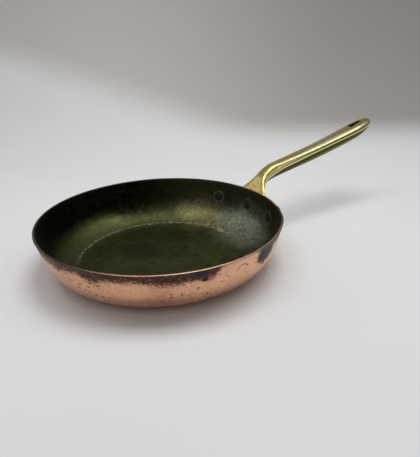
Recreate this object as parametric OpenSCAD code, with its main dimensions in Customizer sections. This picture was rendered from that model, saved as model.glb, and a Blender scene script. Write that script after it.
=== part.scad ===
// Tin-lined copper frying pan with a riveted cast brass handle.
// Origin: centre of the base, on the pan's axis. +Z is up and the handle points along +X.

/* [Pan] */
// Outer radius of the rim
rim_r = 120; // [110:1:150]
// Height from the base to the rim
pan_h = 48.2; // [46:0.2:56]
// Thickness of the copper
copper_t = 1.8; // [1.5:0.1:2.5]
// Thickness of the tin inside
tin_t = 0.2; // [0.2:0.05:0.4]
// Lean of the flared lip away from vertical, in degrees
lip_angle = 22; // [18:1:26]
// Lean of the straight wall away from vertical, in degrees
wall_angle = 14.5; // [12:0.5:16]
// Radius of the hollow curve under the lip
lip_r = 60; // [40:5:80]
// Radius of the upper part of the bend from wall to base
bend_r = 32; // [28:1:34]
// Radius of the lower part of the bend
toe_r = 52; // [44:1:60]

/* [Rivets] */
// Angle round the pan from one rivet to the next, in degrees
rivet_step = 22; // [20:1:24]
// Depth of the rivets below the rim
rivet_drop = 16.5; // [15:0.5:18]
// Radius of the shanks
shank_r = 3.5; // [3:0.25:4]
// Radius and height of the heads inside the pan
inner_head_r = 5.8; // [5:0.2:6.4]
inner_head_h = 0.9; // [0.6:0.1:1.2]
// Radius and height of the heads on the flange
outer_head_r = 6.4; // [5.6:0.2:7]
outer_head_h = 2.8; // [2:0.2:3.4]

/* [Handle] */
// Thickness of the flange that follows the wall
flange_t = 4.5; // [4:0.25:5.5]
// Half height of the flange between the rivets
flange_half_h = 8.5; // [7.5:0.5:9.5]
// Radius of the flange round an end rivet
flange_end_r = 10.5; // [9.5:0.5:11.5]
// Radius of the flange round the centre rivet
flange_mid_r = 14; // [12:0.5:14.5]
// Distance from the rim to the eye of the hanging hole
eye_reach = 168.5; // [164:0.5:171]
// Height of the middle of the eye above the rim
eye_rise = 40; // [38:0.5:42]
// Radius of the round eye
eye_r = 3.5; // [3.2:0.1:3.8]
// Distance from the eye to the small end of the slot
slot_len = 12.5; // [10:0.5:14]
// Radius of the slot's small end
slot_r = 2.2; // [1.8:0.1:2.4]
// Lean of the hole towards the pan, square to the top of the handle
hole_lean = 12; // [10:0.5:14]

/* [Hidden] */

// Ribs of the handle from root to tip: distance beyond the rim, height above the rim,
// half width, crown above the shoulders, belly below them, squareness of top and of belly.
HANDLE_RIBS = [
    [-8.4, -16.4, 29, 2, 2.5, 4, 1.6],
    [2.6, -2.4, 18.4, 2, 6.5, 4, 1.4],
    [7.8, 4.4, 12, 2.4, 8, 3.6, 1.5],
    [14, 11.4, 7.8, 3, 9.6, 3, 1.8],
    [23, 17, 7, 4, 11.4, 2.6, 2.1],
    [35, 20.2, 7.2, 4.6, 12, 2.4, 2.2],
    [60, 23.9, 7.8, 4.9, 12, 2.3, 2.2],
    [95, 29.2, 8.8, 5.2, 12.2, 2.2, 2.2],
    [130, 35.4, 10.1, 5.7, 12.2, 2.1, 2.2],
    [160, 41.4, 11.3, 6.2, 12, 2, 2.2],
    [178, 45.4, 11, 6.1, 11.2, 2, 2.2],
    [192, 49, 8.6, 5.2, 9, 2, 2.2],
    [200, 51.2, 5.2, 3.7, 5.6, 2, 2.1],
    [203.2, 52.2, 0.4, 0.4, 0.5, 2, 2],
];
RIB_STEPS = 4;
RIB_SIDES = 36;

arc_split = 60;
arc_step = 5;
cut_over = 60;
hole_cut = 50;
bore_cut = 12;
wall_t = copper_t + tin_t;
seat_depth = 0.4;

copper = [0.78, 0.55, 0.45];
tin = [0.24, 0.25, 0.2];
brass = [0.72, 0.63, 0.36];

// Unit direction away from the axis and downwards, square to a wall that leans by a degrees
function out_dir(a) = [cos(a), -sin(a)];
// Angles from a to b in equal steps of about arc_step degrees
function sweep(a, b) = let (n = max(1, ceil(abs(b - a) / arc_step))) [for (i = [0:n]) a + (b - a) * i / n];

// Centres of the three arcs of the outer profile, as [radius, height]
lip_c = [rim_r, pan_h] + lip_r * out_dir(lip_angle);
lip_end = lip_c - lip_r * out_dir(wall_angle);
bend_drop = bend_r * (sin(arc_split) - sin(wall_angle)) + toe_r * (1 - sin(arc_split));
bend_start_z = bend_drop;
bend_start_r = lip_end[0] - (lip_end[1] - bend_start_z) * tan(wall_angle);
bend_c = [bend_start_r, bend_start_z] - bend_r * out_dir(wall_angle);
toe_c = bend_c + (bend_r - toe_r) * out_dir(arc_split);

// Profile a distance t inside the outer face, from the rim down to the base
function shell_curve(t) = concat(
    [for (a = sweep(asin(lip_r * sin(lip_angle) / (lip_r + t)), wall_angle)) lip_c - (lip_r + t) * out_dir(a)],
    [for (a = sweep(wall_angle, arc_split)) bend_c + (bend_r - t) * out_dir(a)],
    [for (a = sweep(arc_split + arc_step, 90)) toe_c + (toe_r - t) * out_dir(a)],
    [[0, t]]
);
function turned_round(v) = [for (i = [len(v) - 1:-1:0]) v[i]];

rivet_z = pan_h - rivet_drop;
rivet_wall_r = lip_end[0] - (lip_end[1] - rivet_z) * tan(wall_angle);

// Smooth blend of four neighbouring ribs, t from 0 to 1 between b and c
function blend(a, b, c, d, t) =
    0.5 * (2 * b + (c - a) * t + (2 * a - 5 * b + 4 * c - d) * t * t + (3 * b - a - 3 * c + d) * t * t * t);
last_rib = len(HANDLE_RIBS) - 1;
function rib(i) =
    i < 0 ? 2 * HANDLE_RIBS[0] - HANDLE_RIBS[1] :
    i > last_rib ? 2 * HANDLE_RIBS[last_rib] - HANDLE_RIBS[last_rib - 1] :
    HANDLE_RIBS[i];
function rib_at(u) = let (i = min(floor(u), last_rib - 1)) blend(rib(i - 1), rib(i), rib(i + 1), rib(i + 2), u - i);
function heading(u) =
    let (d = rib_at(min(u + 0.01, last_rib)) - rib_at(max(u - 0.01, 0)))
    [d[0], d[1]] / norm([d[0], d[1]]);
function signed_pow(v, p) = sign(v) * pow(abs(v), p);
// One closed section of the handle at rib position u
function section(u) =
    let (r = rib_at(u), h = heading(u))
    [for (k = [0:RIB_SIDES - 1])
        let (
            a = 360 * k / RIB_SIDES,
            top = k < RIB_SIDES / 2,
            p = 2 / (top ? r[5] : r[6]),
            v = (top ? r[3] : r[4]) * signed_pow(sin(a), p)
        )
        [rim_r + r[0] - v * h[1], r[2] * signed_pow(cos(a), p), pan_h + r[1] + v * h[0]]
    ];

// Solid of revolution between two profiles
module shell(t_outer, t_inner) {
    rotate_extrude($fn = 180)
        polygon(concat(shell_curve(t_outer), turned_round(shell_curve(t_inner))));
}

// Everything inside the pan's outer face
module pan_blank() {
    rotate_extrude($fn = 180)
        polygon(concat(shell_curve(0), [[0, pan_h + cut_over], [rim_r, pan_h + cut_over]]));
}

// Places children on the wall at one rivet: origin on the outer face, +Z out through the flange
module at_rivet(angle) {
    rotate([0, 0, angle])
        translate([rivet_wall_r, 0, rivet_z])
            rotate([0, 90 + wall_angle, 0])
                children();
}

module rivet_bores() {
    for (i = [-1:1])
        at_rivet(i * rivet_step)
            translate([0, 0, -bore_cut])
                cylinder(r = shank_r, h = 2 * bore_cut, $fn = 48);
}

// Low domed head that rises from z = 0
module dome(r, h) {
    sphere_r = (r * r + h * h) / (2 * h);
    intersection() {
        translate([0, 0, h - sphere_r])
            sphere(r = sphere_r, $fn = 96);
        cylinder(r = r, h = h + 1, $fn = 64);
    }
}

module rivet(angle) {
    seat_z = flange_t - seat_depth;
    head_in_wall = 0.4;
    head_slope = 0.8;
    color(copper) {
        at_rivet(angle)
            translate([0, 0, -wall_t - inner_head_h / 2])
                cylinder(r = shank_r, h = wall_t + inner_head_h / 2 + seat_z, $fn = 48);
        at_rivet(angle)
            translate([0, 0, seat_z])
                dome(outer_head_r, outer_head_h);
        difference() {
            at_rivet(angle)
                translate([0, 0, -wall_t - inner_head_h])
                    cylinder(
                        r1 = inner_head_r - head_slope,
                        r2 = inner_head_r,
                        h = inner_head_h + head_in_wall,
                        $fn = 64
                    );
            shell(0, wall_t);
        }
    }
}

module pan_body() {
    color(copper)
        difference() {
            shell(0, copper_t);
            rivet_bores();
        }
}

module tin_lining() {
    color(tin)
        difference() {
            shell(copper_t, wall_t);
            rivet_bores();
        }
}

// Flat seats on the flange for the outer heads
module rivet_seats() {
    for (i = [-1:1])
        at_rivet(i * rivet_step)
            translate([0, 0, flange_t - seat_depth])
                cylinder(r = outer_head_r, h = bore_cut, $fn = 64);
}

module flange_outline() {
    for (i = [-1, 1])
        translate([i * (rivet_wall_r + flange_t) * sin(rivet_step), 0])
            circle(r = flange_end_r, $fn = 64);
    square([2 * rivet_wall_r * sin(rivet_step), 2 * flange_half_h], center = true);
    circle(r = flange_mid_r, $fn = 64);
}

module flange() {
    half_h = 20;
    low_r = rivet_wall_r - half_h * tan(wall_angle);
    high_r = rivet_wall_r + half_h * tan(wall_angle);
    thick_r = flange_t / cos(wall_angle);
    intersection() {
        rotate_extrude($fn = 180)
            polygon([
                [low_r, rivet_z - half_h],
                [low_r + thick_r, rivet_z - half_h],
                [high_r + thick_r, rivet_z + half_h],
                [high_r, rivet_z + half_h]
            ]);
        translate([0, 0, rivet_z])
            rotate([90, 0, 90])
                linear_extrude(rim_r + half_h)
                    flange_outline();
    }
}

module stalk() {
    rings = [for (i = [0:last_rib * RIB_STEPS]) section(i / RIB_STEPS)];
    count = len(rings);
    polyhedron(
        points = [for (ring = rings) for (p = ring) p],
        faces = concat(
            [[for (k = [0:RIB_SIDES - 1]) k]],
            [for (i = [0:count - 2]) for (k = [0:RIB_SIDES - 1])
                let (a = i * RIB_SIDES, b = a + RIB_SIDES, n = (k + 1) % RIB_SIDES)
                each [[a + k, b + k, a + n], [a + n, b + k, b + n]]],
            [[for (k = [RIB_SIDES - 1:-1:0]) (count - 1) * RIB_SIDES + k]]
        )
    );
}

// Keyhole through the flat of the handle: a round eye and a slot that runs towards the tip
module hanging_hole() {
    translate([rim_r + eye_reach, 0, pan_h + eye_rise])
        rotate([0, -hole_lean, 0])
            translate([0, 0, -hole_cut / 2]) {
                cylinder(r = eye_r, h = hole_cut, $fn = 64);
                translate([0, -slot_r, 0])
                    cube([slot_len, 2 * slot_r, hole_cut]);
                translate([slot_len, 0, 0])
                    cylinder(r = slot_r, h = hole_cut, $fn = 48);
            }
}

module handle() {
    color(brass)
        difference() {
            union() {
                flange();
                stalk();
            }
            pan_blank();
            rivet_bores();
            rivet_seats();
            hanging_hole();
        }
}

module rivet_left() {
    rivet(rivet_step);
}

module rivet_centre() {
    rivet(0);
}

module rivet_right() {
    rivet(-rivet_step);
}

pan_body();
tin_lining();
handle();
rivet_left();
rivet_centre();
rivet_right();
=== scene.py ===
import math

import bmesh
import bpy
import numpy as np
from mathutils import Matrix, Vector
from mathutils.bvhtree import BVHTree
from mathutils.interpolate import poly_3d_calc


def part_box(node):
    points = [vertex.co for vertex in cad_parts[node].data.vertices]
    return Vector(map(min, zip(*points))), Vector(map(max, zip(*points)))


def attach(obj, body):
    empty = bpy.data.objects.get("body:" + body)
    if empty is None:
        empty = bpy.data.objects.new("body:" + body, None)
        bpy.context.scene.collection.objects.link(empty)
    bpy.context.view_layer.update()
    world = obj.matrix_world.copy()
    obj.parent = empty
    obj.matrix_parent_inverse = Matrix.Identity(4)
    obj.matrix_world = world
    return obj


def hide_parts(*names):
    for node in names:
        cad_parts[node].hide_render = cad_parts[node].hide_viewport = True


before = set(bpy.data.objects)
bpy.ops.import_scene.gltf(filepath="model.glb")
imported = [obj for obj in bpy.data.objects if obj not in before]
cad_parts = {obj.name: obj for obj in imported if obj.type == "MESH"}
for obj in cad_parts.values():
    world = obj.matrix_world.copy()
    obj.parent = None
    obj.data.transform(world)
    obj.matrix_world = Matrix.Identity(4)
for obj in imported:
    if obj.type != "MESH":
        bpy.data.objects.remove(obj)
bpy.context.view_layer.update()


def sine(angle):
    return math.sin(math.radians(angle))


def cosine(angle):
    return math.cos(math.radians(angle))


def tangent(angle):
    return math.tan(math.radians(angle))


# ---------------------------------------- sizes, in millimetres and degrees

MM = 0.001
_, pan_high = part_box("pan_body")
RIM_R = pan_high.x / MM
PAN_H = pan_high.z / MM
COPPER_T = 1.8
TIN_T = 0.2
WALL_T = COPPER_T + TIN_T
COAT_GAP = 0.02
RIM_ROUND = 0.8
TIN_STOP = 0.7

LIP_ANGLE = 22
WALL_ANGLE = 14.5
ARC_SPLIT = 60
LIP_R = 60
BEND_R = 32
TOE_R = 52

RIVET_STEP = 22
RIVET_DROP = 16.5
SHANK_R = 3.5
INNER_HEAD_R = 5.8
INNER_HEAD_H = 0.9
OUTER_HEAD_R = 6.4
OUTER_HEAD_H = 2.8
HEAD_EDGE = 0.3
HEAD_SINK = 0.15
SEAT_GAP = 0.02
SEAT_CLEARANCE = 0.15

FLANGE_T = 4.5
FLANGE_HALF_H = 8.5
FLANGE_END_R = 10.5
FLANGE_MID_R = 14
SEAT_DEPTH = 0.4
SEAT_Z = FLANGE_T - SEAT_DEPTH
FLANGE_OVERLAP = 2

EYE_REACH = 168.5
EYE_RISE = 40
EYE_R = 3.5
SLOT_LEN = 12.5
SLOT_R = 2.2
HOLE_LEAN = 12

# Ribs of the handle from root to tip: distance beyond the rim, height above the rim, half width,
# crown, belly, squareness of the top and squareness of the belly
HANDLE_RIBS = np.array([
    [-8.4, -16.4, 29, 2, 2.5, 4, 1.6],
    [2.6, -2.4, 18.4, 2, 6.5, 4, 1.4],
    [7.8, 4.4, 12, 2.4, 8, 3.6, 1.5],
    [14, 11.4, 7.8, 3, 9.6, 3, 1.8],
    [23, 17, 7, 4, 11.4, 2.6, 2.1],
    [35, 20.2, 7.2, 4.6, 12, 2.4, 2.2],
    [60, 23.9, 7.8, 4.9, 12, 2.3, 2.2],
    [95, 29.2, 8.8, 5.2, 12.2, 2.2, 2.2],
    [130, 35.4, 10.1, 5.7, 12.2, 2.1, 2.2],
    [160, 41.4, 11.3, 6.2, 12, 2, 2.2],
    [178, 45.4, 11, 6.1, 11.2, 2, 2.2],
    [192, 49, 8.6, 5.2, 9, 2, 2.2],
    [200, 51.2, 5.2, 3.7, 5.6, 2, 2.1],
    [203.2, 52.2, 0.4, 0.4, 0.5, 2, 2],
])
LAST_RIB = len(HANDLE_RIBS) - 1
RIB_STEPS = 16
RIB_SIDES = 96

SEGMENTS = 384
FINE_SEGMENTS = 720
RIVET_SEGMENTS = 72
SKIN_SPACING = 1.6
HIDDEN_SPACING = 2.5
VOXEL = 0.42
FILLET_FROM = 1.6
FILLET_TO = 3.4
FILLET_ROUNDS = 26
SMOOTH_ROUNDS = 9
SNAP_GAP = 0.9
SHARP_ANGLE = 38

# The camera's level directions. The handle points away from it, to the right
HANDLE_TURN = 36.2
RIGHT = Vector((cosine(HANDLE_TURN), -sine(HANDLE_TURN), 0))
AHEAD = Vector((sine(HANDLE_TURN), cosine(HANDLE_TURN), 0))
UP = Vector((0, 0, 1))

# ---------------------------------------- profile of the pan


def out_dir(angle):
    """Unit [radius, height] direction out of and down from a wall that leans by angle, square to it."""
    return np.array([cosine(angle), -sine(angle)])


LIP_C = np.array([RIM_R, PAN_H]) + LIP_R * out_dir(LIP_ANGLE)
LIP_END = LIP_C - LIP_R * out_dir(WALL_ANGLE)
BEND_START_Z = BEND_R * (sine(ARC_SPLIT) - sine(WALL_ANGLE)) + TOE_R * (1 - sine(ARC_SPLIT))
BEND_START_R = LIP_END[0] - (LIP_END[1] - BEND_START_Z) * tangent(WALL_ANGLE)
BEND_C = np.array([BEND_START_R, BEND_START_Z]) - BEND_R * out_dir(WALL_ANGLE)
TOE_C = BEND_C + (BEND_R - TOE_R) * out_dir(ARC_SPLIT)
RIVET_Z = PAN_H - RIVET_DROP
RIVET_WALL_R = LIP_END[0] - (LIP_END[1] - RIVET_Z) * tangent(WALL_ANGLE)


def shell_curve(depth):
    """The pan's profile a distance inside its outer face, from the rim down to the base."""
    first = math.degrees(math.asin(LIP_R * sine(LIP_ANGLE) / (LIP_R + depth)))
    lip = [LIP_C - (LIP_R + depth) * out_dir(a) for a in np.linspace(first, WALL_ANGLE, 8)]
    bend = [BEND_C + (BEND_R - depth) * out_dir(a) for a in np.linspace(WALL_ANGLE, ARC_SPLIT, 24)]
    toe = [TOE_C + (TOE_R - depth) * out_dir(a) for a in np.linspace(ARC_SPLIT, 90, 16)[1:]]
    return np.array(lip + bend + toe + [np.array([0, depth])])


def spaced(curve, spacing):
    """The same line with points about spacing apart."""
    steps = np.hypot(*np.diff(curve, axis=0).T)
    along = np.concatenate([[0], np.cumsum(steps)])
    wanted = np.linspace(0, along[-1], max(2, round(along[-1] / spacing)) + 1)
    return np.stack([np.interp(wanted, along, curve[:, i]) for i in range(2)], axis=1)


def smooth_step(value, low, high):
    share = np.clip((value - low) / (high - low), 0, 1)
    return share * share * (3 - 2 * share)


def bell(value, middle, width):
    return np.exp(-(((value - middle) / width) ** 2))


# ---------------------------------------- mesh helpers


def finish_mesh(obj):
    """Faces turned outwards and shaded smooth, except across sharp edges."""
    work = bmesh.new()
    work.from_mesh(obj.data)
    bmesh.ops.recalc_face_normals(work, faces=work.faces)
    work.to_mesh(obj.data)
    work.free()
    obj.data.shade_smooth()
    obj.data.set_sharp_from_angle(angle=math.radians(SHARP_ANGLE))


def mesh_object(name, points, faces):
    """An object from points in millimetres."""
    mesh = bpy.data.meshes.new(name)
    mesh.from_pydata((np.asarray(points, float) * MM).tolist(), [], faces)
    mesh.validate()
    obj = bpy.data.objects.new(name, mesh)
    bpy.context.scene.collection.objects.link(obj)
    finish_mesh(obj)
    return obj


def grid_faces(rings, sides):
    """Quads between closed rings of points that follow one another."""
    faces = []
    for i in range(rings - 1):
        for k in range(sides):
            n = (k + 1) % sides
            faces.append((i * sides + k, i * sides + n, (i + 1) * sides + n, (i + 1) * sides + k))
    return faces


def turned(name, profile, segments=SEGMENTS, shape=None):
    """A closed solid of revolution. Its profile starts and ends on the axis. shape may move its points."""
    rings = profile[1:-1]
    turn = np.linspace(0, 2 * math.pi, segments, endpoint=False)
    body = np.stack([
        np.outer(rings[:, 0], np.cos(turn)),
        np.outer(rings[:, 0], np.sin(turn)),
        np.repeat(rings[:, 1:], segments, axis=1),
    ], axis=2).reshape(-1, 3)
    poles = np.array([[0, 0, profile[0][1]], [0, 0, profile[-1][1]]])
    points = np.concatenate([body, poles])
    if shape is not None:
        points = shape(points)
    faces = grid_faces(len(rings), segments)
    last = (len(rings) - 1) * segments
    first_pole, last_pole = len(points) - 2, len(points) - 1
    for k in range(segments):
        n = (k + 1) % segments
        faces.append((first_pole, n, k))
        faces.append((last_pole, last + k, last + n))
    return mesh_object(name, points, faces)


def extruded(name, outline, levels):
    """A closed solid with a ring of points at each (z, level). outline(level) gives a ring's [x, y]."""
    rings = [np.column_stack([outline(level), np.full(len(outline(level)), z)]) for z, level in levels]
    sides = len(rings[0])
    faces = grid_faces(len(rings), sides)
    faces.append(tuple(range(sides - 1, -1, -1)))
    faces.append(tuple((len(rings) - 1) * sides + k for k in range(sides)))
    return mesh_object(name, np.concatenate(rings), faces)


def moved(obj, matrix):
    """The object with its vertices moved by a matrix in metres."""
    obj.data.transform(matrix)
    return obj


def joined(name, objects):
    """One object with the meshes of several, which are removed."""
    work = bmesh.new()
    for obj in objects:
        work.from_mesh(obj.data)
    mesh = bpy.data.meshes.new(name)
    work.to_mesh(mesh)
    work.free()
    for obj in objects:
        bpy.data.objects.remove(obj)
    made = bpy.data.objects.new(name, mesh)
    bpy.context.scene.collection.objects.link(made)
    return made


def apply_modifiers(obj):
    """Bakes the object's modifiers into its mesh."""
    graph = bpy.context.evaluated_depsgraph_get()
    mesh = bpy.data.meshes.new_from_object(obj.evaluated_get(graph))
    obj.modifiers.clear()
    obj.data = mesh
    return obj


def cut(obj, cutter, operation="DIFFERENCE"):
    """Exact boolean of the object with a cutter, which is removed."""
    step = obj.modifiers.new("cut", "BOOLEAN")
    step.operation = operation
    step.solver = "EXACT"
    step.object = cutter
    apply_modifiers(obj)
    bpy.data.objects.remove(cutter)
    return obj


def coords(mesh):
    """Vertex positions of a mesh, in millimetres."""
    flat = np.zeros(len(mesh.vertices) * 3)
    mesh.vertices.foreach_get("co", flat)
    return flat.reshape(-1, 3) / MM


def set_coords(mesh, points):
    mesh.vertices.foreach_set("co", (points * MM).ravel())
    mesh.update()


# ---------------------------------------- pan and tin coat


def rim_push(points):
    """How far the rim was knocked outwards: a small kink near the handle, and a slight long wave."""
    turn = np.degrees(np.arctan2(points[:, 1], points[:, 0]))
    kink = 0.4 * bell(turn, -29.5, 1.8) - 0.5 * bell(turn, -25, 2.8) - 0.5 * bell(turn, -34.8, 3.2)
    wave = -0.25 + 0.25 * np.sin(np.radians(3 * turn + 40)) * smooth_step(abs(turn), 40, 70)
    lip = smooth_step(points[:, 2], LIP_END[1], PAN_H)
    return lip * (kink + wave)


def unevenness(points):
    """Gentle hand-raised waves."""
    x, y, z = points.T
    long_wave = np.sin(0.071 * x + 1.3) * np.cos(0.083 * y + 0.4) + 0.5 * np.sin(0.11 * z + 0.05 * x)
    short_wave = np.sin(0.19 * x - 0.13 * y + 2.1) * np.cos(0.17 * y + 0.2 * z + 0.7)
    return 0.07 * long_wave + 0.035 * short_wave


def hand_raised(points):
    """Moves the pan's points as the rim's kink and the waves say. The flat base stays flat."""
    radius = np.hypot(points[:, 0], points[:, 1])
    unit = points[:, :2] / np.maximum(radius, 1e-6)[:, None]
    waves = unevenness(points) * smooth_step(points[:, 2], 2.5, 12)
    push = rim_push(points) + waves * smooth_step(radius, 60, 100)
    shaped = points.copy()
    shaped[:, :2] += unit * push[:, None]
    return shaped


def hand_raised_inside(points):
    """As hand_raised, with the floor of the tin slightly uneven too."""
    shaped = hand_raised(points)
    on_floor = (points[:, 2] > WALL_T - 0.05) & (points[:, 2] < 4)
    shaped[on_floor, 2] += 0.6 * unevenness(points[on_floor])
    return shaped


def rim_bead(outer_r, inner_r, drop):
    """Rounded edge of the rim from the outer face over to the inner face."""
    middle = (outer_r + inner_r) / 2
    half = (outer_r - inner_r) / 2
    turns = np.radians(np.linspace(0, 180, 13))
    return np.column_stack([middle + half * np.cos(turns), PAN_H - drop + drop * np.sin(turns)])


def pan_copper():
    """The copper sheet, with its rim rounded over."""
    outer = spaced(shell_curve(0), SKIN_SPACING)[::-1]
    inner = spaced(shell_curve(COPPER_T), HIDDEN_SPACING)
    inner_rim_r = inner[0][0]
    top = PAN_H - RIM_ROUND - 0.2
    outer = outer[outer[:, 1] < top]
    inner = inner[inner[:, 1] < top]
    lean = RIM_ROUND * tangent(LIP_ANGLE)
    bead = rim_bead(RIM_R - lean / 2, inner_rim_r - lean, RIM_ROUND)
    return turned("pan_copper", np.concatenate([outer, bead, inner]), shape=hand_raised)


def pan_tin():
    """The coat of tin, which stops a little below the rim."""
    top = PAN_H - TIN_STOP
    outer = spaced(shell_curve(COPPER_T + COAT_GAP), HIDDEN_SPACING)[::-1]
    inner = spaced(shell_curve(WALL_T), SKIN_SPACING)
    outer = outer[outer[:, 1] < top - 0.3]
    inner = inner[inner[:, 1] < top - 0.1]
    lip_r = RIM_R - (PAN_H - top) * tangent(LIP_ANGLE) - COPPER_T / cosine(LIP_ANGLE)
    edge = np.array([[lip_r - COAT_GAP, top], [lip_r - TIN_T * 1.05, top]])
    return turned("tin_coat", np.concatenate([outer, edge, inner]), shape=hand_raised_inside)


# ---------------------------------------- rivets


def at_rivet(angle):
    """Matrix from a rivet's own frame, +Z out through the flange, to the part's frame."""
    spin = Matrix.Rotation(math.radians(angle), 4, "Z")
    place = Matrix.Translation((RIVET_WALL_R * MM, 0, RIVET_Z * MM))
    lean = Matrix.Rotation(math.radians(90 + WALL_ANGLE), 4, "Y")
    return spin @ place @ lean


def hammered(seed, amount):
    """A function that gives a head its few flat hammer blows."""
    def shape(points):
        x, y, z = points.T
        broad = np.sin(0.9 * x + seed) * np.cos(0.8 * y + 2 * seed)
        small = 0.5 * np.sin(1.7 * x - 1.3 * y + 3 * seed)
        on_head = smooth_step(z, SEAT_Z + 0.8, FLANGE_T + 1.6)
        shaped = points.copy()
        shaped[:, 2] -= amount * on_head * (1 + (broad + small))
        return shaped
    return shape


def rivet_piece(name, angle, seed):
    """One rivet: a low head inside, the shank, and a hammered dome outside."""
    under_head = -WALL_T + HEAD_SINK
    seat = SEAT_Z + SEAT_GAP
    brim = SEAT_Z + HEAD_EDGE
    turns = np.radians(np.linspace(90, 0, 14))
    inside = [[INNER_HEAD_R * math.cos(t), -WALL_T - INNER_HEAD_H * math.sin(t) ** 0.8] for t in turns]
    shank = [[INNER_HEAD_R, under_head], [SHANK_R, under_head], [SHANK_R, seat]]
    edge = [[OUTER_HEAD_R - 0.1, seat], [OUTER_HEAD_R, brim]]
    turns = np.radians(np.linspace(6, 90, 20))
    dome = [[OUTER_HEAD_R * math.cos(t), brim + (OUTER_HEAD_H - HEAD_EDGE) * math.sin(t)] for t in turns]
    profile = np.array(inside + shank + edge + dome)
    profile[0, 0] = 0
    profile[-1, 0] = 0
    made = turned(name, profile, segments=RIVET_SEGMENTS, shape=hammered(seed, 0.12))
    return moved(made, at_rivet(angle))


# ---------------------------------------- handle


def rib(i):
    """One rib of the handle, carried on in a straight line past either end."""
    if i < 0:
        return 2 * HANDLE_RIBS[0] - HANDLE_RIBS[1]
    if i > LAST_RIB:
        return 2 * HANDLE_RIBS[LAST_RIB] - HANDLE_RIBS[LAST_RIB - 1]
    return HANDLE_RIBS[i]


def rib_at(u):
    """Smooth blend of the four ribs around position u."""
    i = min(int(u), LAST_RIB - 1)
    a, b, c, d = rib(i - 1), rib(i), rib(i + 1), rib(i + 2)
    t = u - i
    first = 2 * b + (c - a) * t
    second = (2 * a - 5 * b + 4 * c - d) * t * t
    third = (3 * b - a - 3 * c + d) * t ** 3
    return 0.5 * (first + second + third)


def handle_section(u):
    """One closed section of the handle at rib position u."""
    reach, rise, half_width, crown, belly, top_square, belly_square = rib_at(u)
    heading = (rib_at(min(u + 0.01, LAST_RIB)) - rib_at(max(u - 0.01, 0)))[:2]
    heading /= np.hypot(*heading)
    turns = 2 * math.pi * np.arange(RIB_SIDES) / RIB_SIDES
    top = np.arange(RIB_SIDES) < RIB_SIDES // 2
    power = 2 / np.where(top, top_square, belly_square)
    sides = np.cos(turns)
    ups = np.sin(turns)
    up = np.where(top, crown, belly) * np.sign(ups) * np.abs(ups) ** power
    across = half_width * np.sign(sides) * np.abs(sides) ** power
    return np.column_stack([RIM_R + reach - up * heading[1], across, PAN_H + rise + up * heading[0]])


def stalk():
    """The handle without its flange: a closed loft through the ribs."""
    positions = np.arange(LAST_RIB * RIB_STEPS + 1) / RIB_STEPS
    rings = [handle_section(u) for u in positions]
    faces = grid_faces(len(rings), RIB_SIDES)
    faces.append(tuple(range(RIB_SIDES - 1, -1, -1)))
    faces.append(tuple((len(rings) - 1) * RIB_SIDES + k for k in range(RIB_SIDES)))
    return mesh_object("stalk", np.concatenate(rings), faces)


def arc(x, y, r, first, last, count):
    """Points round part of a circle, from one angle to another."""
    turns = np.radians(np.linspace(first, last, count))
    return np.column_stack([x + r * np.cos(turns), y + r * np.sin(turns)])


def flange_outline():
    """Outline of the flange: a bar with a round end at each outer rivet, and a wider middle."""
    end_y = (RIVET_WALL_R + FLANGE_T) * sine(RIVET_STEP)
    end_turn = math.degrees(math.asin(FLANGE_HALF_H / FLANGE_END_R))
    mid_turn = math.degrees(math.asin(FLANGE_HALF_H / FLANGE_MID_R))
    return np.concatenate([
        arc(end_y, 0, FLANGE_END_R, -180 + end_turn, 180 - end_turn, 64),
        arc(0, 0, FLANGE_MID_R, mid_turn, 180 - mid_turn, 40),
        arc(-end_y, 0, FLANGE_END_R, end_turn, 360 - end_turn, 64),
        arc(0, 0, FLANGE_MID_R, 180 + mid_turn, 360 - mid_turn, 40),
    ])


def flange():
    """Plate that follows the wall, cut from a cone-shaped band by the outline."""
    half_h = 20
    slope = half_h * tangent(WALL_ANGLE)
    thick = FLANGE_T / cosine(WALL_ANGLE)
    band = np.array([
        [0, RIVET_Z - half_h],
        [RIVET_WALL_R - slope + thick, RIVET_Z - half_h],
        [RIVET_WALL_R + slope + thick, RIVET_Z + half_h],
        [0, RIVET_Z + half_h],
    ])
    plate = turned("flange", band, segments=FINE_SEGMENTS)
    outline = flange_outline()
    prism = extruded("prism", lambda _: outline, [(RIM_R - 40, 0), (RIM_R + 30, 0)])
    axes = Matrix(((0, 0, 1, 0), (1, 0, 0, 0), (0, 1, 0, RIVET_Z * MM), (0, 0, 0, 1)))
    cut(plate, moved(prism, axes), "INTERSECT")
    core = np.array([
        [0, RIVET_Z - half_h - 1],
        [RIVET_WALL_R - slope - FLANGE_OVERLAP, RIVET_Z - half_h - 1],
        [RIVET_WALL_R + slope - FLANGE_OVERLAP, RIVET_Z + half_h + 1],
        [0, RIVET_Z + half_h + 1],
    ])
    return cut(plate, turned("core", core, segments=FINE_SEGMENTS))


def pan_cutter():
    """Everything inside the pan's outer face, and the column above it."""
    curve = spaced(shell_curve(0), SKIN_SPACING)[::-1]
    top = np.array([[RIM_R, PAN_H + 60], [0, PAN_H + 60]])
    return turned("pan_cutter", np.concatenate([curve, top]), segments=FINE_SEGMENTS)


def rivet_cutter():
    """The three rivet bores with the flat seats of their outer heads."""
    half = 12
    seat_r = OUTER_HEAD_R + SEAT_CLEARANCE
    bore = [[0, -half], [SHANK_R, -half], [SHANK_R, SEAT_Z]]
    seat = [[seat_r, SEAT_Z], [seat_r, half], [0, half]]
    cutters = [turned("bore", np.array(bore + seat), segments=RIVET_SEGMENTS) for _ in range(3)]
    for cutter, place in zip(cutters, (-1, 0, 1)):
        moved(cutter, at_rivet(place * RIVET_STEP))
    return joined("bores", cutters)


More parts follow.
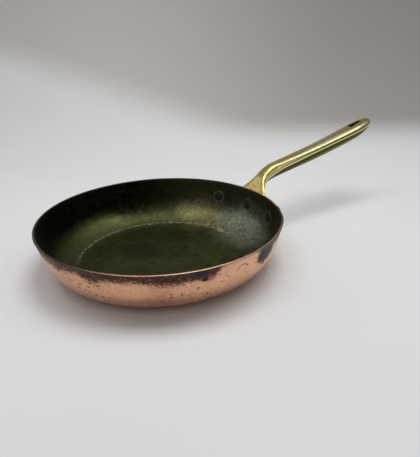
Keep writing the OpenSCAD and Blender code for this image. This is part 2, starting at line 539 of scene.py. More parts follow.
def keyhole_outline(grow):
    """A round eye with a slot that runs from it towards the tip, grown by a margin."""
    eye = EYE_R + grow
    slot = SLOT_R + grow
    meet = math.degrees(math.asin(slot / eye))
    return np.concatenate([
        arc(0, 0, eye, meet, 360 - meet, 72),
        arc(SLOT_LEN, 0, slot, -90, 90, 32),
    ])


def handle_top(reach):
    """Height above the rim of the handle's top, a distance beyond the rim."""
    crest = np.array([handle_section(u)[RIB_SIDES // 4] for u in np.linspace(7, 11, 81)])
    return np.interp(RIM_R + reach, crest[:, 0], crest[:, 2]) - PAN_H


def keyhole_cutter():
    """The hanging hole, with a small worn chamfer where it meets the top of the handle."""
    middle = EYE_REACH + SLOT_LEN / 2
    top = (handle_top(middle) - EYE_RISE) * cosine(HOLE_LEAN) - SLOT_LEN / 2 * sine(HOLE_LEAN)
    levels = [(-30, 0), (top - 0.6, 0), (top - 0.15, 0.25), (top + 0.6, 1.1), (30, 1.3)]
    cutter = extruded("keyhole", keyhole_outline, levels)
    place = Matrix.Translation(((RIM_R + EYE_REACH) * MM, 0, (PAN_H + EYE_RISE) * MM))
    return moved(cutter, place @ Matrix.Rotation(math.radians(-HOLE_LEAN), 4, "Y"))


def nearest(tree, points):
    """Nearest point on a surface, and the distance to it, for each point."""
    found = [tree.find_nearest(Vector(p)) for p in points * MM]
    places = np.array([f[0] for f in found]) / MM
    return places, np.array([f[3] for f in found]) / MM


def relax(mesh, points, weights, rounds):
    """Moves each point towards the mean of its neighbours by its weight."""
    ends = np.zeros(len(mesh.edges) * 2, int)
    mesh.edges.foreach_get("vertices", ends)
    a, b = ends.reshape(-1, 2).T
    counts = np.maximum(np.bincount(a, minlength=len(points)) + np.bincount(b, minlength=len(points)), 1)
    for _ in range(rounds):
        total = np.zeros_like(points)
        for axis in range(3):
            total[:, axis] += np.bincount(a, points[b, axis], len(points))
            total[:, axis] += np.bincount(b, points[a, axis], len(points))
        points = points + weights[:, None] * (total / counts[:, None] - points)
    return points


def surface_tree(obj):
    """The object's surface, ready for nearest-point questions."""
    work = bmesh.new()
    work.from_mesh(obj.data)
    tree = BVHTree.FromBMesh(work)
    work.free()
    return tree


def lend_normals(obj, source):
    """Where the mesh lies within reach of a clean surface, shades it with that surface's own normals."""
    reach = 0.15
    fade = 0.1
    least_agreement = 0.8
    mesh = obj.data
    own = source.data
    tree = surface_tree(source)
    lent = np.zeros((len(mesh.vertices), 3))
    weight = np.zeros(len(mesh.vertices))
    for i, vertex in enumerate(mesh.vertices):
        place, _, face, gap = tree.find_nearest(vertex.co)
        if gap > reach * MM:
            continue
        corners = own.polygons[face].vertices
        shares = poly_3d_calc([own.vertices[c].co for c in corners], place)
        lent[i] = sum(share * np.array(own.vertices[c].normal) for share, c in zip(shares, corners))
        weight[i] = min(1.0, (reach - gap / MM) / fade)
    normals = np.zeros(len(mesh.loops) * 3)
    mesh.corner_normals.foreach_get("vector", normals)
    normals = normals.reshape(-1, 3)
    users = np.zeros(len(mesh.loops), int)
    mesh.loops.foreach_get("vertex_index", users)
    agree = np.sum(normals * lent[users], axis=1) > least_agreement
    share = (weight[users] * agree)[:, None]
    normals = normals * (1 - share) + lent[users] * share
    normals /= np.linalg.norm(normals, axis=1)[:, None]
    mesh.normals_split_custom_set(normals.tolist())


def cast(name, stem, plate):
    """Stalk and flange as one skin, with soft fillets where they meet and true to both elsewhere."""
    stem_tree = surface_tree(stem)
    plate_tree = surface_tree(plate)
    made = joined(name, [stem, plate])
    step = made.modifiers.new("cast", "REMESH")
    step.mode = "VOXEL"
    step.voxel_size = VOXEL * MM
    apply_modifiers(made)
    points = coords(made.data)
    on_stem, stem_gap = nearest(stem_tree, points)
    on_plate, plate_gap = nearest(plate_tree, points)
    away = smooth_step(np.maximum(stem_gap, plate_gap), FILLET_FROM, FILLET_TO)
    points = relax(made.data, points, 0.5 * (1 - away), FILLET_ROUNDS)
    points = relax(made.data, points, np.full(len(points), 0.5), SMOOTH_ROUNDS)
    to_stem = away * (stem_gap < SNAP_GAP)
    to_plate = away * (plate_gap < SNAP_GAP) * (stem_gap >= SNAP_GAP)
    points = points + to_stem[:, None] * (on_stem - points)
    points = points + 0.6 * to_plate[:, None] * (on_plate - points)
    set_coords(made.data, points)
    return made


def handle_piece():
    """The cast handle, cut to fit the pan's wall and the rivets, with its hanging hole."""
    stem = stalk()
    clean_stem = stem.copy()
    clean_stem.data = stem.data.copy()
    made = cast("brass_handle", stem, flange())
    cut(made, pan_cutter())
    cut(made, rivet_cutter())
    cut(made, keyhole_cutter())
    finish_mesh(made)
    lend_normals(made, clean_stem)
    bpy.data.objects.remove(clean_stem)
    return made


# ---------------------------------------- node helper


class Graph:
    """Builds one material. Any input may be a number, a colour or another node's output."""

    def __init__(self, name):
        self.material = bpy.data.materials.new(name)
        self.material.use_nodes = True
        self.tree = self.material.node_tree
        self.tree.nodes.clear()
        place = self.node("ShaderNodeTexCoord")
        self.place = self.vector("SCALE", place.outputs["Object"], scale=1 / MM)
        self.x, self.y, self.z = self.split(self.place)

    def node(self, kind, **settings):
        made = self.tree.nodes.new(kind)
        for key, value in settings.items():
            setattr(made, key, value)
        return made

    def feed(self, socket, value):
        if isinstance(value, bpy.types.NodeSocket):
            self.tree.links.new(value, socket)
        else:
            socket.default_value = value

    def math(self, operation, first, second=0.0):
        made = self.node("ShaderNodeMath", operation=operation)
        self.feed(made.inputs[0], first)
        self.feed(made.inputs[1], second)
        return made.outputs[0]

    def vector(self, operation, first, second=(0, 0, 0), scale=1.0):
        made = self.node("ShaderNodeVectorMath", operation=operation)
        self.feed(made.inputs[0], first)
        self.feed(made.inputs[1], second)
        self.feed(made.inputs[3], scale)
        return made.outputs["Value"] if operation in ("DISTANCE", "LENGTH") else made.outputs["Vector"]

    def join(self, *parts):
        """A vector from up to three numbers or outputs."""
        made = self.node("ShaderNodeCombineXYZ")
        for socket, part in zip(made.inputs, parts):
            self.feed(socket, part)
        return made.outputs[0]

    def split(self, vector):
        made = self.node("ShaderNodeSeparateXYZ")
        self.feed(made.inputs[0], vector)
        return made.outputs[0], made.outputs[1], made.outputs[2]

    def chain(self, operation, values):
        """One operation carried through several values."""
        result = values[0]
        for value in values[1:]:
            result = self.math(operation, result, value)
        return result

    def both(self, *values):
        """Product: what is inside every mask."""
        return self.chain("MULTIPLY", values)

    def total(self, *values):
        return self.chain("ADD", values)

    def most(self, *values):
        """Largest: what is inside any of the masks."""
        return self.chain("MAXIMUM", values)

    def less(self, value, taken):
        return self.math("SUBTRACT", value, taken)

    def outside(self, mask):
        return self.less(1, mask)

    def gap(self, value, middle):
        """How far a number is from a middle value."""
        return self.math("ABSOLUTE", self.less(value, middle))

    def axis_gap(self):
        """Distance from the pan's axis, in millimetres."""
        return self.vector("LENGTH", self.vector("MULTIPLY", self.place, (1, 1, 0)))

    def ease(self, value, low, high, first=0.0, last=1.0):
        """first below low, last above high, smooth between. low may be above high."""
        made = self.node("ShaderNodeMapRange", interpolation_type="SMOOTHSTEP")
        for socket, number in zip(made.inputs, (value, low, high, first, last)):
            self.feed(socket, number)
        return made.outputs[0]

    def noise(self, scale, detail=3.0, rough=0.55, warp=0.0, stretch=(1, 1, 1)):
        """Noise from 0 to 1 with features about 1 / scale mm apart. A stretch below 1 lengthens them."""
        made = self.node("ShaderNodeTexNoise")
        self.feed(made.inputs["Vector"], self.vector("MULTIPLY", self.place, stretch))
        made.inputs["Scale"].default_value = scale
        made.inputs["Detail"].default_value = detail
        made.inputs["Roughness"].default_value = rough
        made.inputs["Distortion"].default_value = warp
        return made.outputs[0]

    def centred(self, scale, detail=4.0):
        """Noise from about -1 to 1."""
        return self.both(self.less(self.noise(scale, detail, 0.6), 0.5), 2.0)

    def pits(self, scale, radius, share, stretch=(1, 1, 1)):
        """Scattered pits, 1 inside. radius is a share of their spacing, share how many places have one."""
        cells = self.node("ShaderNodeTexVoronoi")
        self.feed(cells.inputs["Vector"], self.vector("MULTIPLY", self.place, stretch))
        cells.inputs["Scale"].default_value = scale
        pick = self.split(cells.outputs["Color"])[0]
        size = self.ease(pick, 1 - share, 1, 0, radius)
        return self.ease(self.less(cells.outputs["Distance"], size), 0.0, -0.35 * radius)

    def spot(self, point, radius, soft, stretch=(1, 1, 1), ragged=0.0, grain=0.12):
        """1 within radius of a point and 0 beyond, with a soft and maybe ragged edge."""
        offset = self.vector("MULTIPLY", self.vector("SUBTRACT", self.place, point), stretch)
        gap = self.vector("LENGTH", offset)
        if ragged:
            gap = self.total(gap, self.both(self.centred(grain), ragged))
        return self.ease(gap, radius + soft, radius - soft)

    def mix(self, mask, first, second):
        """The first colour outside the mask and the second inside."""
        made = self.node("ShaderNodeMix", data_type="RGBA")
        self.feed(made.inputs[0], mask)
        self.feed(made.inputs[6], first if isinstance(first, bpy.types.NodeSocket) else (*first, 1))
        self.feed(made.inputs[7], second if isinstance(second, bpy.types.NodeSocket) else (*second, 1))
        return made.outputs[2]

    def coats(self, colour, *coats):
        """The colour with coats laid over it in turn, each a mask and a colour."""
        for mask, coat in coats:
            colour = self.mix(mask, colour, coat)
        return colour

    def lerp(self, mask, first, second):
        """The first number outside the mask and the second inside."""
        return self.total(first, self.both(mask, self.less(second, first)))

    def steps(self, value, *steps):
        """The number changed in turn where a mask says, each step a mask and a number."""
        for mask, target in steps:
            value = self.lerp(mask, value, target)
        return value

    def finish(self, colour, rough, metal, height, depth, **plain):
        """The shader itself. height is in units of depth mm. Plain inputs go straight on its sockets."""
        shader = self.node("ShaderNodeBsdfPrincipled")
        self.feed(shader.inputs["Base Color"], colour)
        self.feed(shader.inputs["Roughness"], rough)
        self.feed(shader.inputs["Metallic"], metal)
        for key, value in plain.items():
            shader.inputs[key.replace("_", " ")].default_value = value
        bump = self.node("ShaderNodeBump")
        bump.inputs["Distance"].default_value = depth * MM
        self.feed(bump.inputs["Height"], height)
        self.tree.links.new(bump.outputs[0], shader.inputs["Normal"])
        output = self.node("ShaderNodeOutputMaterial")
        self.tree.links.new(shader.outputs[0], output.inputs["Surface"])
        return self.material


def on_wall(angle, z, depth=0.0):
    """Point on the pan's wall at an angle round from the handle and a height."""
    curve = shell_curve(depth)[::-1]
    radius = np.interp(z, curve[:, 1], curve[:, 0])
    return (radius * cosine(angle), radius * sine(angle), z)


# ---------------------------------------- copper

# Lower edge of the dark band under the rim: degrees round from the handle, height
BAND_EDGE = [
    (-180, 39), (-165, 39), (-156, 41), (-149, 37), (-142, 39), (-133, 40), (-125, 38.5),
    (-116, 36.5), (-110, 38), (-104, 36.5), (-99, 40), (-95, 49), (-82, 49), (-77, 44),
    (-55, 40), (-30, 38), (0, 36), (40, 38), (90, 40), (140, 38), (180, 39),
]
BAND_TOP = PAN_H * 1.1


def band_edge(g):
    """Height of the dark band's lower edge all round the pan."""
    turn = g.math("ARCTAN2", g.y, g.x)
    share = g.total(g.math("DIVIDE", turn, 2 * math.pi), 0.5)
    curve = g.node("ShaderNodeFloatCurve")
    line = curve.mapping.curves[0]
    points = [((angle + 180) / 360, height / BAND_TOP) for angle, height in BAND_EDGE]
    line.points[0].location = points[0]
    line.points[-1].location = points[-1]
    for point in points[1:-1]:
        line.points.new(*point)
    curve.mapping.update()
    g.feed(curve.inputs["Value"], share)
    return g.both(curve.outputs[0], BAND_TOP)


def polished_copper(g):
    mottle = g.ease(g.noise(0.035, 4, 0.6), 0.3, 0.7)
    blotch = g.ease(g.noise(0.16, 5, 0.65, warp=0.6), 0.4, 0.72)
    rubbed = g.ease(g.noise(0.5, 3, 0.6, stretch=(1, 1, 3.2)), 0.5, 0.75)
    return g.coats(
        g.mix(mottle, (0.90, 0.52, 0.325), (0.83, 0.455, 0.275)),
        (g.both(blotch, 0.5), (0.66, 0.33, 0.20)),
        (g.both(rubbed, 0.35), (0.94, 0.62, 0.44)),
    )


def tarnished_copper(g):
    cloud = g.ease(g.noise(0.09, 4, 0.6), 0.35, 0.65)
    rubbed = g.ease(g.noise(0.7, 3, 0.6, stretch=(1, 1, 2.5)), 0.5, 0.75)
    tarnish = g.mix(cloud, (0.075, 0.026, 0.019), (0.036, 0.019, 0.018))
    return g.mix(g.both(rubbed, 0.6), tarnish, (0.24, 0.11, 0.085))


def tarnish_masks(g):
    """The dark band under the rim, and the thin haze that reaches below it."""
    ragged = g.total(
        g.both(g.centred(0.1), 4.0),
        g.both(g.centred(0.45), 5.0),
        g.both(g.centred(1.4, 2), 2.4),
    )
    over_edge = g.total(g.less(g.z, band_edge(g)), ragged)
    worn_through = g.ease(g.noise(0.3, 5, 0.7, stretch=(1, 1, 2)), 0.56, 0.7)
    band = g.both(g.ease(over_edge, -3.4, 3.8), g.outside(g.both(worn_through, 0.6)))
    veil = g.ease(g.noise(0.35, 6, 0.75, stretch=(1, 1, 1.6)), 0.42, 0.66)
    return band, g.both(g.ease(over_edge, -15, 3), veil)


def dark_marks(g):
    """A blue-black patch at the front right, and two spots left of it under the rim."""
    patch = g.both(g.spot(on_wall(-71, 39), 13.5, 2.6, (1, 1, 1.3), 9, 0.3), g.ease(g.z, 46, 44.5))
    upper_spot = g.spot(on_wall(-106, 44.5), 5.2, 0.9, (1, 1, 1.9), 3, 0.5)
    lower_spot = g.spot(on_wall(-104, 38), 2.7, 0.6, (1, 1, 1.1), 2, 0.6)
    return g.most(patch, upper_spot, lower_spot)


def copper_pits(g):
    """Pits in clusters low on the wall, and a few elsewhere."""
    elsewhere = 0.24
    cluster = g.total(
        g.spot(on_wall(-163.5, 31), 11, 6),
        g.spot(on_wall(-150, 25), 15, 7),
        g.both(g.spot(on_wall(-106, 26), 24, 12), 0.7),
        elsewhere,
    )
    large = g.pits(0.25, 0.42, 0.75, (1, 1, 2.0))
    small = g.pits(0.6, 0.46, 0.6, (1, 1, 1.6))
    few = g.ease(g.noise(0.06, 2, 0.5), 0.35, 0.6)
    return g.most(
        g.both(large, g.ease(cluster, 0.25, 0.8)),
        g.both(small, few, g.ease(cluster, 0.0, 0.6)),
    )


def curved_scratch(g):
    """The upper part of a thin ring scratched into the wall."""
    ring_r = 6.2
    line = g.gap(g.vector("DISTANCE", g.place, on_wall(-86.5, 34.5)), ring_r)
    return g.both(g.ease(line, 0.9, 0.3), g.ease(g.z, 35, 37), g.ease(g.noise(0.4, 3), 0.36, 0.5))


def rim_colour_and_highlight(g):
    """Rim copper, dull, with a painted highlight along the front and by the handle."""
    rim_highlight = g.most(g.spot(on_wall(-100, PAN_H), 96, 30), g.spot(on_wall(-6, PAN_H), 42, 14))
    return g.mix(rim_highlight, (0.085, 0.055, 0.038), (0.55, 0.34, 0.25))


def copper_material():
    g = Graph("worn_copper")
    band, haze = tarnish_masks(g)
    dark = dark_marks(g)
    pitted = copper_pits(g)
    scratch = curved_scratch(g)
    smear = g.spot(on_wall(-121, 27), 13, 8, (1, 1, 0.7), 8, 0.1)
    smear_gaps = g.ease(g.noise(0.3, 5, 0.7), 0.3, 0.6)
    # Darker towards the bottom: partly painted shade near the floor, partly heat tint.
    foot_shade_and_tint = g.ease(g.total(g.z, g.both(g.centred(0.2), 2.5)), 11, 0.5)
    base = g.ease(g.z, 3.5, 0.4)
    bright = g.ease(g.z, PAN_H - 0.55, PAN_H - 0.15)
    heat_cloud = g.ease(g.noise(0.06, 6, 0.7), 0.35, 0.65)
    colour = g.coats(
        polished_copper(g),
        (g.both(haze, 0.6), (0.30, 0.135, 0.10)),
        (g.both(smear, smear_gaps, 0.5), (0.42, 0.20, 0.13)),
        (band, tarnished_copper(g)),
        (dark, (0.017, 0.018, 0.022)),
        (g.both(pitted, 0.95), (0.03, 0.017, 0.014)),
        # painted shade and heat tint on the lower wall
        (g.both(foot_shade_and_tint, 0.6), (0.46, 0.19, 0.11)),
        (g.both(scratch, 0.85), (0.12, 0.06, 0.045)),
        # painted shade at the very base, with a cloudy heat tint
        (g.both(base, 0.85), g.mix(heat_cloud, (0.24, 0.115, 0.07), (0.40, 0.205, 0.13))),
        # painted highlight on the rim along the front and by the handle
        (bright, rim_colour_and_highlight(g)),
    )
    cover = g.most(band, dark)
    rough = g.steps(
        g.lerp(g.noise(0.2, 3), 0.22, 0.36),
        (g.both(haze, 0.5), 0.42),
        (g.both(cover, g.outside(bright)), 0.46),
        (pitted, 0.7),
        (base, 0.5),
    )
    metal = g.lerp(g.most(cover, pitted), 1.0, 0.75)
    height = g.total(
        g.both(g.noise(0.9, 4, 0.6), 0.5),
        g.both(g.noise(0.11, 2, 0.5), 0.9),
        g.both(pitted, -1.6),
        g.both(scratch, -0.8),
        g.both(cover, 0.15),
    )
    return g.finish(colour, rough, metal, height, 0.12)


# ---------------------------------------- tin

CREASE_R = 85.5


def olive_tin(g):
    """Tin darkened by use, with clouds and wiping streaks."""
    tone = g.ease(g.noise(0.045, 4, 0.6, warp=0.8), 0.35, 0.68)
    cloud = g.ease(g.noise(0.14, 6, 0.7), 0.46, 0.68)
    streak = g.ease(g.noise(0.3, 6, 0.75, stretch=(0.25, 1, 1)), 0.38, 0.64)
    return g.coats(
        g.mix(tone, (0.082, 0.090, 0.027), (0.125, 0.134, 0.044)),
        (g.both(cloud, 0.45), (0.028, 0.032, 0.014)),
        (g.both(streak, 0.5), (0.028, 0.031, 0.011)),
    )


def soot_and_shade_mask(g, back):
    """Sooty darkening and painted shade on the wall, reaching lower at the back and staying higher on the
    right.
    """
    low_reach = g.total(
        g.both(g.spot(on_wall(66, 10), 44, 22), 9),
        g.both(g.spot(on_wall(-30, 20), 38, 18), -8),
    )
    wall = g.ease(g.total(g.z, low_reach, g.both(g.centred(0.13), 4)), 11, 24)
    thin_places = g.lerp(g.ease(g.noise(0.2, 6, 0.7), 0.35, 0.65), 0.8, 1.0)
    return g.both(wall, g.lerp(back, 0.6, 0.96), thin_places)


def dull_discs(g):
    """Two stains on the base."""
    large = g.spot((-12, 23, 2), 20, 5, ragged=9, grain=0.07)
    small = g.spot((42, 33, 2), 11, 4, ragged=5, grain=0.1)
    return g.both(g.most(large, small), 0.5)


def golden_sheen(g):
    """Painted golden sheen on the tin left of the rivets."""
    area = g.spot(on_wall(31, 10.5, WALL_T), 22, 13, (0.8, 0.8, 1.2), 14, 0.09)
    return g.both(area, g.ease(g.noise(0.22, 6, 0.75), 0.26, 0.66))


def grey_sheen(g):
    """Painted greyish sheen on the tin below the rivets."""
    area = g.spot(on_wall(-8, 11, WALL_T), 26, 16, (0.9, 0.7, 1.2), 14, 0.08)
    return g.both(area, g.ease(g.noise(0.3, 6, 0.75), 0.25, 0.62))


def pale_marks(g):
    """The worn line where the wall meets the base, with chips and flecks at its handle end."""
    wander = g.both(g.centred(0.09), 1.6)
    thinness = g.ease(g.noise(0.2, 4, 0.7), 0.4, 0.66, 1.9, 0.5)
    line = g.both(g.gap(g.total(g.axis_gap(), wander), CREASE_R), thinness)
    breaks = g.ease(g.noise(0.26, 5, 0.75), 0.44, 0.54)
    crease = g.both(g.ease(line, 1.7, 0.4), breaks, g.spot((20, 88, 3), 112, 30))
    upper_chip = g.spot((82, 34, 3.3), 2.2, 0.8, ragged=1.6, grain=0.5)
    lower_chip = g.spot((84, 13, 3.3), 2.6, 1.2, (1, 0.5, 1), 4, 0.6)
    flecks = g.both(g.pits(0.32, 0.36, 0.6), g.spot((86, 25, 6), 13, 8))
    return g.most(g.both(crease, 0.8), upper_chip, lower_chip, flecks)


def dark_specks(g):
    specks = g.both(g.pits(0.22, 0.22, 0.45), g.ease(g.noise(0.05, 2), 0.42, 0.6))
    mark = g.spot((30, 4, 2), 1.7, 0.5, (0.45, 1, 1), 0.8, 0.7)
    return g.most(g.both(specks, 0.6), mark)


def rivet_rings(g):
    """A ring round each rivet's inner head: a shallow groove, with a painted highlight."""
    rings = []
    for angle in (-RIVET_STEP, 0, RIVET_STEP):
        gap = g.vector("DISTANCE", g.place, on_wall(angle, RIVET_Z, WALL_T))
        rings.append(g.ease(g.gap(gap, INNER_HEAD_R + 0.7), 1.1, 0.2))
    return g.most(*rings)


def tin_material():
    g = Graph("darkened_tin")
    grit = g.ease(g.noise(0.8, 5, 0.75), 0.36, 0.64)
    patchy = g.ease(g.noise(0.07, 5, 0.7), 0.36, 0.6)
    low_wall = g.both(g.ease(g.z, 2.4, 3.6), g.ease(g.z, 17, 6), g.spot((10, 95, 8), 118, 32))
    # Worn tin on the lower wall, which also carries a painted sheen.
    worn = g.both(low_wall, g.lerp(grit, 0.4, 1.0))
    back = g.spot((-30, 112, 42), 108, 44)
    soot_and_shade = soot_and_shade_mask(g, back)
    pale = pale_marks(g)
    rings = rivet_rings(g)
    ring_gaps = g.ease(g.noise(0.35, 4, 0.7), 0.36, 0.6)
    scrape = g.spot(on_wall(1.5, RIVET_Z - 8.5, WALL_T), 4.2, 0.8, (1, 0.9, 2.6), 1.5, 0.8)
    colour = g.coats(
        olive_tin(g),
        # worn tin with a painted sheen on the lower wall
        (g.both(worn, g.lerp(patchy, 0.45, 0.85)), (0.105, 0.106, 0.05)),
        (g.both(g.outside(grit), 0.4), (0.02, 0.023, 0.01)),
        # sooty darkening and painted shade, near black at the back
        (soot_and_shade, g.mix(back, (0.034, 0.040, 0.024), (0.0016, 0.0020, 0.0016))),
        (dull_discs(g), (0.022, 0.025, 0.011)),
        # painted golden sheen on the lower wall
        (g.both(golden_sheen(g), 0.85), (0.22, 0.195, 0.09)),
        # painted greyish sheen on the lower wall
        (g.both(grey_sheen(g), 0.9), (0.36, 0.40, 0.29)),
        (g.both(pale, g.lerp(grit, 0.5, 1.0)), (0.36, 0.36, 0.21)),
        (dark_specks(g), (0.012, 0.013, 0.01)),
        # painted highlight on the rings round the rivet heads
        (g.both(rings, ring_gaps, 0.9), (0.30, 0.30, 0.19)),
        (g.both(scrape, 0.8), (0.30, 0.30, 0.17)),
    )
    rough = g.steps(
        g.lerp(g.noise(0.12, 4, 0.65), 0.34, 0.52),
        (soot_and_shade, 0.5),
        (g.both(pale, 0.8), 0.6),
        (g.both(worn, patchy, 0.7), 0.62),
    )
    height = g.total(
        g.both(g.noise(0.75, 5, 0.65), 0.7),
        g.both(g.noise(0.1, 3, 0.5), 1.2),
        g.both(g.noise(0.5, 4, 0.6, stretch=(0.12, 1, 1)), 0.35),
        g.both(rings, -0.7),
        g.both(pale, 0.5),
    )
    return g.finish(colour, rough, 1.0, height, 0.13)


# ---------------------------------------- brass and rivets


def above_middle(g):
    """Height above the handle's middle line, which rises along its length and bends down at the neck."""
    line_x, line_z, line_slope = 155, 67, 0.19
    neck_x, neck_slope = 160, 0.18
    line = g.total(g.both(g.less(g.x, line_x), line_slope), line_z)
    neck = g.both(g.most(g.less(neck_x, g.x), 0), -neck_slope)
    return g.less(g.z, g.total(line, neck))


def crevice_mask(g):
    """Where the flange meets the pan's wall."""
    slope = tangent(WALL_ANGLE)
    wall_gap = g.less(g.axis_gap(), g.both(g.z, slope))
    wall = RIM_R - PAN_H * slope
    return g.ease(wall_gap, wall + 1.7, wall + 0.4)


def hole_shade_mask(g):
    """Painted shade inside the hanging hole, with a narrow margin."""
    slot_middle, slot_half = 7, 9
    reach = g.less(g.x, RIM_R + EYE_REACH)
    in_eye = g.ease(g.vector("LENGTH", g.join(reach, g.y)), EYE_R + 0.5, EYE_R + 0.1)
    across = g.ease(g.math("ABSOLUTE", g.y), SLOT_R + 0.5, SLOT_R + 0.1)
    in_slot = g.both(across, g.ease(g.gap(reach, slot_middle), slot_half, slot_half - 0.4))
    return g.most(in_eye, in_slot)


def painted_light_bands(g):
    """Bands along the handle where light and shade are painted: a highlight along the upper edge, shade on
    the side, a second, thinner highlight lower down, shade and tarnish on the belly, a dim reflection on
    the belly's edge, and shade over the neck.
    """
    on_stalk = g.ease(g.x, 130, 144)
    above = above_middle(g)
    shoulder_highlight = g.both(g.ease(g.gap(above, 2.6), 1.9, 0.7), on_stalk)
    side = g.both(g.ease(above, 1.9, 0.9), on_stalk)
    ridge_highlight = g.both(g.ease(g.gap(above, -1.5), 1.2, 0.3), on_stalk)
    belly = g.both(g.ease(above, -1.9, -3.0), on_stalk)
    edge = g.both(g.ease(above, -6.3, -7.8), on_stalk)
    neck = g.both(g.ease(g.gap(g.x, 143), 13, 5), g.ease(above, -0.5, 1.0))
    return shoulder_highlight, side, ridge_highlight, belly, edge, neck


def brass_material():
    g = Graph("satin_brass")
    tone = g.ease(g.noise(0.05, 4, 0.6), 0.35, 0.65)
    film = g.ease(g.noise(0.3, 5, 0.7, stretch=(0.3, 1, 1)), 0.48, 0.7)
    root = g.ease(g.x, 134, 122)
    grime = g.both(g.ease(g.noise(0.22, 5, 0.7), 0.42, 0.62), root)
    shoulder_highlight, side, ridge_highlight, belly, edge, neck = painted_light_bands(g)
    hole = hole_shade_mask(g)
    specks = g.pits(0.5, 0.2, 0.15)
    colour = g.coats(
        g.mix(tone, (0.82, 0.70, 0.31), (0.76, 0.64, 0.27)),
        (g.both(film, 0.35), (0.5, 0.41, 0.15)),
        (g.both(root, 0.55), (0.84, 0.56, 0.17)),
        (g.both(grime, 0.7), (0.42, 0.30, 0.075)),
        (g.both(crevice_mask(g), 0.8), (0.10, 0.06, 0.02)),
        # Painted light: highlights on the upper edge and the lower line, shade on the side, belly and
        # neck, a dim reflection on the belly's edge.
        (g.both(shoulder_highlight, 0.75), (0.90, 0.85, 0.60)),
        (side, (0.34, 0.30, 0.055)),
        (ridge_highlight, (0.88, 0.80, 0.36)),
        (g.both(belly, 0.95), (0.045, 0.036, 0.005)),
        (g.both(edge, 0.8), (0.20, 0.14, 0.055)),
        (g.both(neck, 0.6), (0.36, 0.33, 0.09)),
        # painted shade inside the hanging hole
        (hole, (0.012, 0.010, 0.007)),
        (g.both(specks, 0.5), (0.12, 0.085, 0.03)),
    )
    grain = g.both(g.noise(1.1, 4, 0.6, stretch=(0.12, 1, 1)), 0.03)
    rough = g.steps(
        g.total(g.lerp(g.noise(0.18, 4, 0.6), 0.19, 0.29), grain),
        (g.both(film, 0.5), 0.36),
        (g.both(side, 0.9), 0.16),
        (shoulder_highlight, 0.31),
        (g.both(neck, 0.8), 0.42),
        (hole, 0.8),
        (g.both(belly, 0.6), 0.45),
        (g.both(root, g.outside(grime)), 0.2),
    )
    height = g.total(
        g.both(g.noise(0.1, 2, 0.5), 0.8),
        g.both(specks, -0.3),
        g.both(g.noise(0.2, 3, 0.5), root, 22),
    )
    return g.finish(colour, rough, 1.0, height, 0.03)


def rivet_material():
    """Copper outside the wall and darkened tin inside."""
    g = Graph("rivet_copper")
    across = g.less(g.both(g.axis_gap(), cosine(WALL_ANGLE)), g.both(g.z, sine(WALL_ANGLE)))
    wall_face = RIVET_WALL_R * cosine(WALL_ANGLE) - RIVET_Z * sine(WALL_ANGLE)
    tinned = g.ease(across, wall_face - 0.4, wall_face - 1.2)
    copper = g.mix(g.ease(g.noise(0.3, 4, 0.6), 0.35, 0.65), (0.62, 0.33, 0.22), (0.42, 0.2, 0.13))
    tin = g.mix(g.ease(g.noise(0.5, 5, 0.65), 0.4, 0.66), (0.035, 0.040, 0.024), (0.080, 0.088, 0.052))
    rough = g.lerp(tinned, g.lerp(g.noise(0.6, 4), 0.3, 0.5), 0.55)
    height = g.total(g.both(g.noise(0.9, 4), 0.8), g.both(g.noise(2.5, 2), 0.2))
    return g.finish(g.mix(tinned, copper, tin), rough, 0.92, height, 0.12)


def paper_material():
    """Pale paper with painted shade: greyer where it curves up, and lower down on its right."""
    g = Graph("studio_paper")
    tooth = g.noise(1.2, 3, 0.6)
    tone = g.ease(g.noise(0.004, 2, 0.5), 0.3, 0.7)
    pale = g.mix(tone, (0.84, 0.84, 0.845), (0.82, 0.82, 0.82))
    rightward = g.total(g.both(g.x, RIGHT.x), g.both(g.y, RIGHT.y))
    shade = g.ease(g.total(g.z, g.both(rightward, 0.28)), 0, 85)
    shade_colour = g.mix(g.ease(rightward, -300, 420), (0.64, 0.605, 0.565), (0.41, 0.38, 0.355))
    # painted shade where the paper curves up, heavier on the right
    colour = g.mix(g.both(shade, g.ease(g.z, 0, 40)), pale, shade_colour)
    return g.finish(colour, g.lerp(tooth, 0.8, 0.9), 0.0, tooth, 0.03, Specular_IOR_Level=0.2)


# ---------------------------------------- the object's pieces

material_of = {
    "copper": copper_material(),
    "tin": tin_material(),
    "brass": brass_material(),
    "rivet_copper": rivet_material(),
}
pieces = [
    (pan_copper(), "pan_body", "copper"),
    (pan_tin(), "tin_lining", "tin"),
    (handle_piece(), "handle", "brass"),
    (rivet_piece("rivet_set_left", RIVET_STEP, 0.7), "rivet_left", "rivet_copper"),
    (rivet_piece("rivet_set_centre", 0, 2.1), "rivet_centre", "rivet_copper"),
    (rivet_piece("rivet_set_right", -RIVET_STEP, 4.4), "rivet_right", "rivet_copper"),
]
for piece, node, slot in pieces:
    piece.data.materials.clear()
    piece.data.materials.append(material_of[slot])
    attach(piece, "root")
    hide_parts(node)

# ---------------------------------------- camera, stage and lights, in metres

CAMERA_PLACE = (-0.2032, -0.3594, 0.2156)
CAMERA_PITCH = 24.07
CAMERA_ROLL = -1.21
FOCAL_MM = 35.45
SENSOR_MM = 36
PAPER_BEND_START = 0.34
PAPER_BEND_R = 0.62
PAPER_H = 1.9


def at(right, ahead, up):
    """A point of the room: metres to the right of the pan, behind it and up, as the camera faces."""
    return RIGHT * right + AHEAD * ahead + UP * up


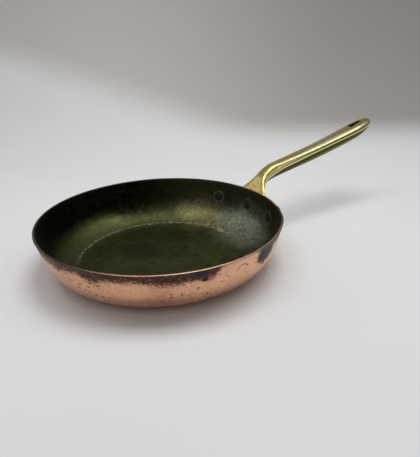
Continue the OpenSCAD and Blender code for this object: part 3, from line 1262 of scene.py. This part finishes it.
def add_camera():
    forward = AHEAD * cosine(CAMERA_PITCH) - UP * sine(CAMERA_PITCH)
    level_up = AHEAD * sine(CAMERA_PITCH) + UP * cosine(CAMERA_PITCH)
    side = RIGHT * cosine(CAMERA_ROLL) + level_up * sine(CAMERA_ROLL)
    top = level_up * cosine(CAMERA_ROLL) - RIGHT * sine(CAMERA_ROLL)
    lens = bpy.data.cameras.new("camera")
    lens.sensor_width = SENSOR_MM
    lens.lens = FOCAL_MM
    lens.clip_start = 0.01
    lens.clip_end = 20
    camera = bpy.data.objects.new("camera", lens)
    turn = Matrix((side, top, -forward)).transposed().to_4x4()
    camera.matrix_world = Matrix.Translation(CAMERA_PLACE) @ turn
    bpy.context.scene.collection.objects.link(camera)
    bpy.context.scene.camera = camera


def add_paper():
    """A seamless sheet: flat under the pan, curved up behind it."""
    turns = np.radians(np.linspace(0, 90, 40)[1:])
    line = [(-1.9, 0), (-0.8, 0), (-0.2, 0), (PAPER_BEND_START, 0)]
    for t in turns:
        line.append((PAPER_BEND_START + PAPER_BEND_R * math.sin(t), PAPER_BEND_R * (1 - math.cos(t))))
    line.append((PAPER_BEND_START + PAPER_BEND_R, PAPER_H))
    sides = np.linspace(-2.2, 2.2, 9)
    points = [at(side, ahead, up) / MM for ahead, up in line for side in sides]
    wide = len(sides)
    faces = []
    for i in range(len(line) - 1):
        for k in range(wide - 1):
            a = i * wide + k
            faces.append((a, a + 1, a + wide + 1, a + wide))
    paper = mesh_object("paper", points, faces)
    paper.data.materials.append(paper_material())


def add_light(name, place, target, size, power, colour=(1, 1, 1), spread=180):
    lamp = bpy.data.lights.new(name, "AREA")
    lamp.shape = "RECTANGLE"
    lamp.size, lamp.size_y = size
    lamp.energy = power
    lamp.color = colour
    lamp.spread = math.radians(spread)
    obj = bpy.data.objects.new(name, lamp)
    look = Vector(target) - Vector(place)
    obj.matrix_world = Matrix.Translation(place) @ look.to_track_quat("-Z", "Y").to_matrix().to_4x4()
    bpy.context.scene.collection.objects.link(obj)


def add_world():
    world = bpy.data.worlds.new("room")
    world.use_nodes = True
    sky = world.node_tree.nodes["Background"]
    sky.inputs["Color"].default_value = (0.93, 0.96, 1.0, 1)
    sky.inputs["Strength"].default_value = 0.22
    bpy.context.scene.world = world


add_camera()
add_paper()
add_world()
add_light("overhead", at(0.28, 0.10, 1.35), at(0.05, 0.05, 0), (0.8, 0.7), 4.1, spread=120)
add_light("key", at(1.05, 0.2, 1.25), at(0.16, 0.12, 0.08), (0.5, 0.3), 0.68, spread=120)
add_light("window", at(-1.1, 0.36, 0.68), at(0.05, 0.05, 0.03), (0.9, 0.7), 1.0, (0.94, 0.97, 1.0))
add_light("left_lamp", at(-0.45, -0.02, 1.25), at(0.04, 0.08, 0), (0.5, 0.5), 0.9, spread=110)
add_light("front_fill", at(-0.05, -0.9, 1.1), at(0, -0.05, 0.03), (0.9, 0.6), 1.3)
add_light("side_strip", at(1.53, -0.17, 0.225), at(0.17, 0.12, 0.08), (0.6, 0.08), 0.3)
bpy.context.scene.view_settings.view_transform = "Standard"
